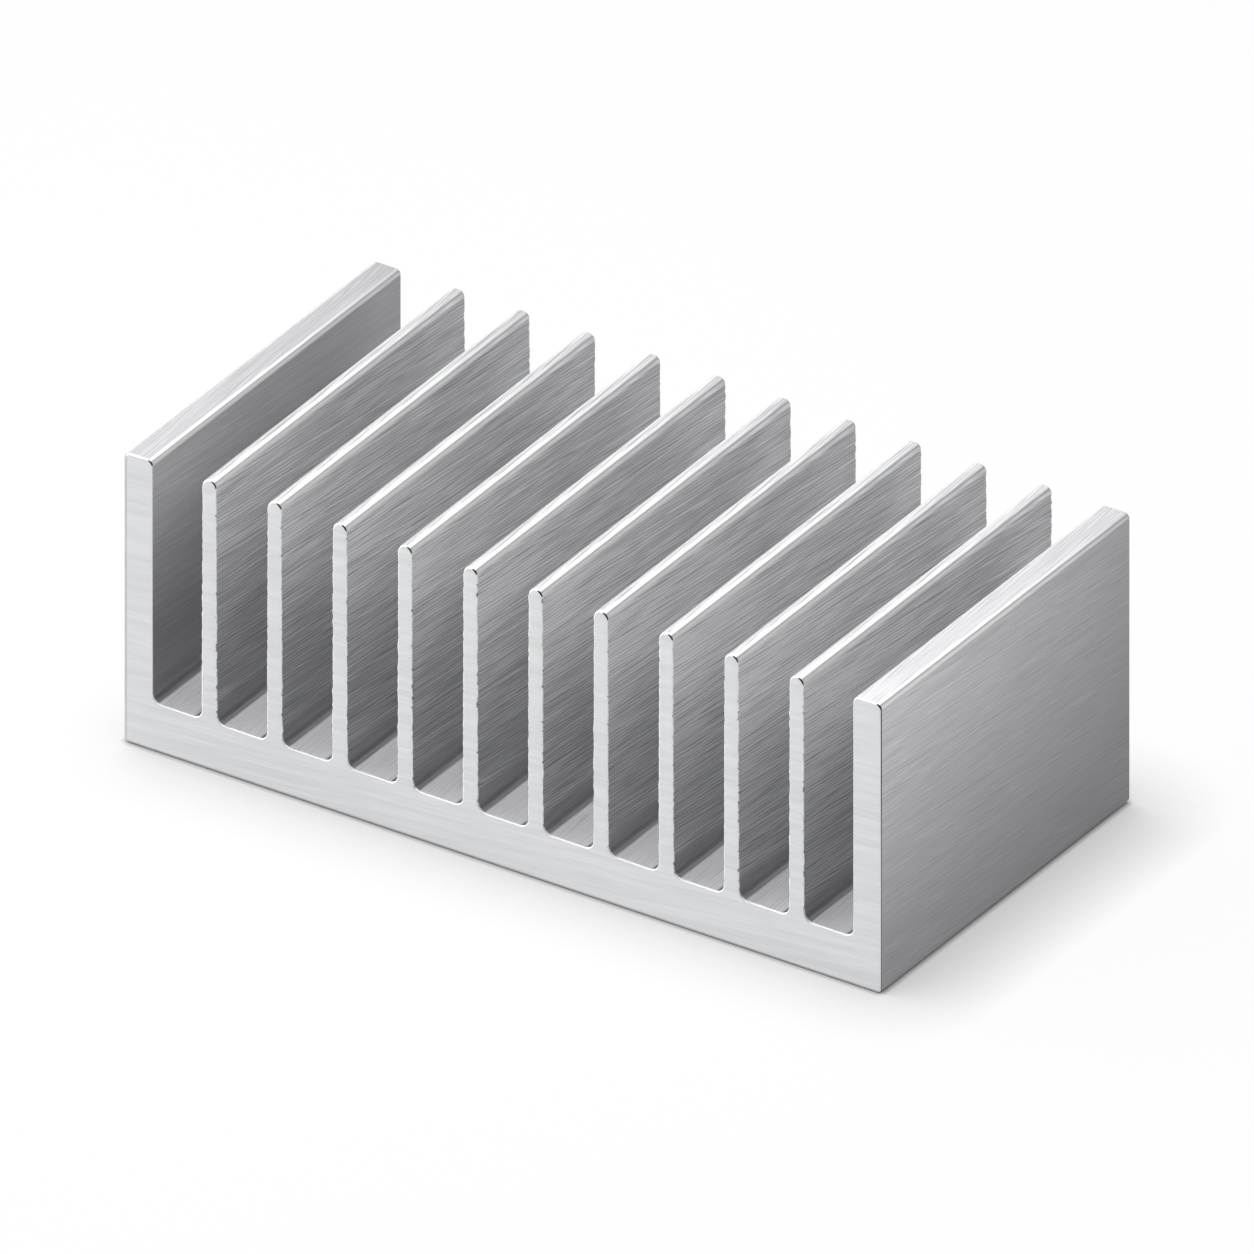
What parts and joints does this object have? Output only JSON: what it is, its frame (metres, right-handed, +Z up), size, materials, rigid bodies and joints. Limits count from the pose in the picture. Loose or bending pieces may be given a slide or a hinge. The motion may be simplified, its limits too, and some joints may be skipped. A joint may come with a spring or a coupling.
{
  "type": "heat sink",
  "caption": "Extruded aluminium heat sink: a flat base with thick end walls and thin upright fins, sawn square at both ends.",
  "frame": {"origin": "middle of the underside of the base", "axes": "+X across the fins, +Y along the extrusion and the channels, +Z up from the base to the fin tips"},
  "size_m": [0.08, 0.04, 0.0296],
  "materials": {
    "brushed_aluminium": "mill finish with fine lines along the extrusion, and sawn and brushed ends"
  },
  "bodies": {
    "root": {"heat_sink": "brushed_aluminium"}
  },
  "joints": []
}
